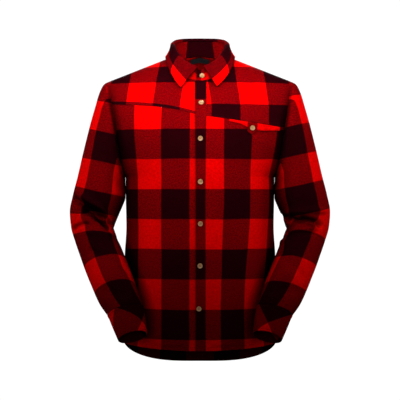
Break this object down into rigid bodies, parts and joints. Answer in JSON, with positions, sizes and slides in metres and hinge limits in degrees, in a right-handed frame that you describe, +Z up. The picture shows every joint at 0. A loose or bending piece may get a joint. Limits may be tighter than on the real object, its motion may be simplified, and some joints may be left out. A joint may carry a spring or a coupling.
{
  "type": "long-sleeved shirt",
  "caption": "Long-sleeved check flannel shirt with a button placket, slanting front yokes, a slanting chest pocket and a turned-down collar, filled out as if worn, with nobody in it.",
  "frame": {"origin": "middle of the base of the neck, between the shoulder seams, where a wearer or a hanger holds the shirt up", "axes": "+Z up, the front faces -Y, the wearer's left is +X"},
  "size_m": [0.6778, 0.3236, 0.8594],
  "materials": {
    "flannel": "brushed red and black check flannel",
    "label": "plain black woven tape",
    "button": "turned, satin"
  },
  "bodies": {
    "root": {"front_left": "flannel", "front_right": "flannel", "yoke_front_left": "flannel", "yoke_front_right": "flannel", "back": "flannel", "back_yoke": "flannel", "sleeve_left": "flannel", "sleeve_right": "flannel", "cuff_left": "flannel", "cuff_right": "flannel", "sleeve_placket_left": "flannel", "sleeve_placket_right": "flannel", "placket": "flannel", "collar_stand": "flannel", "collar_leaf": "flannel", "pocket_welt": "flannel", "pocket_tab": "flannel", "neck_label": "label", "button_front_1": "button", "button_front_2": "button", "button_front_3": "button", "button_front_4": "button", "button_front_5": "button", "button_front_6": "button", "button_collar": "button", "button_pocket": "button", "button_cuff_left": "button", "button_cuff_right": "button"}
  },
  "joints": []
}
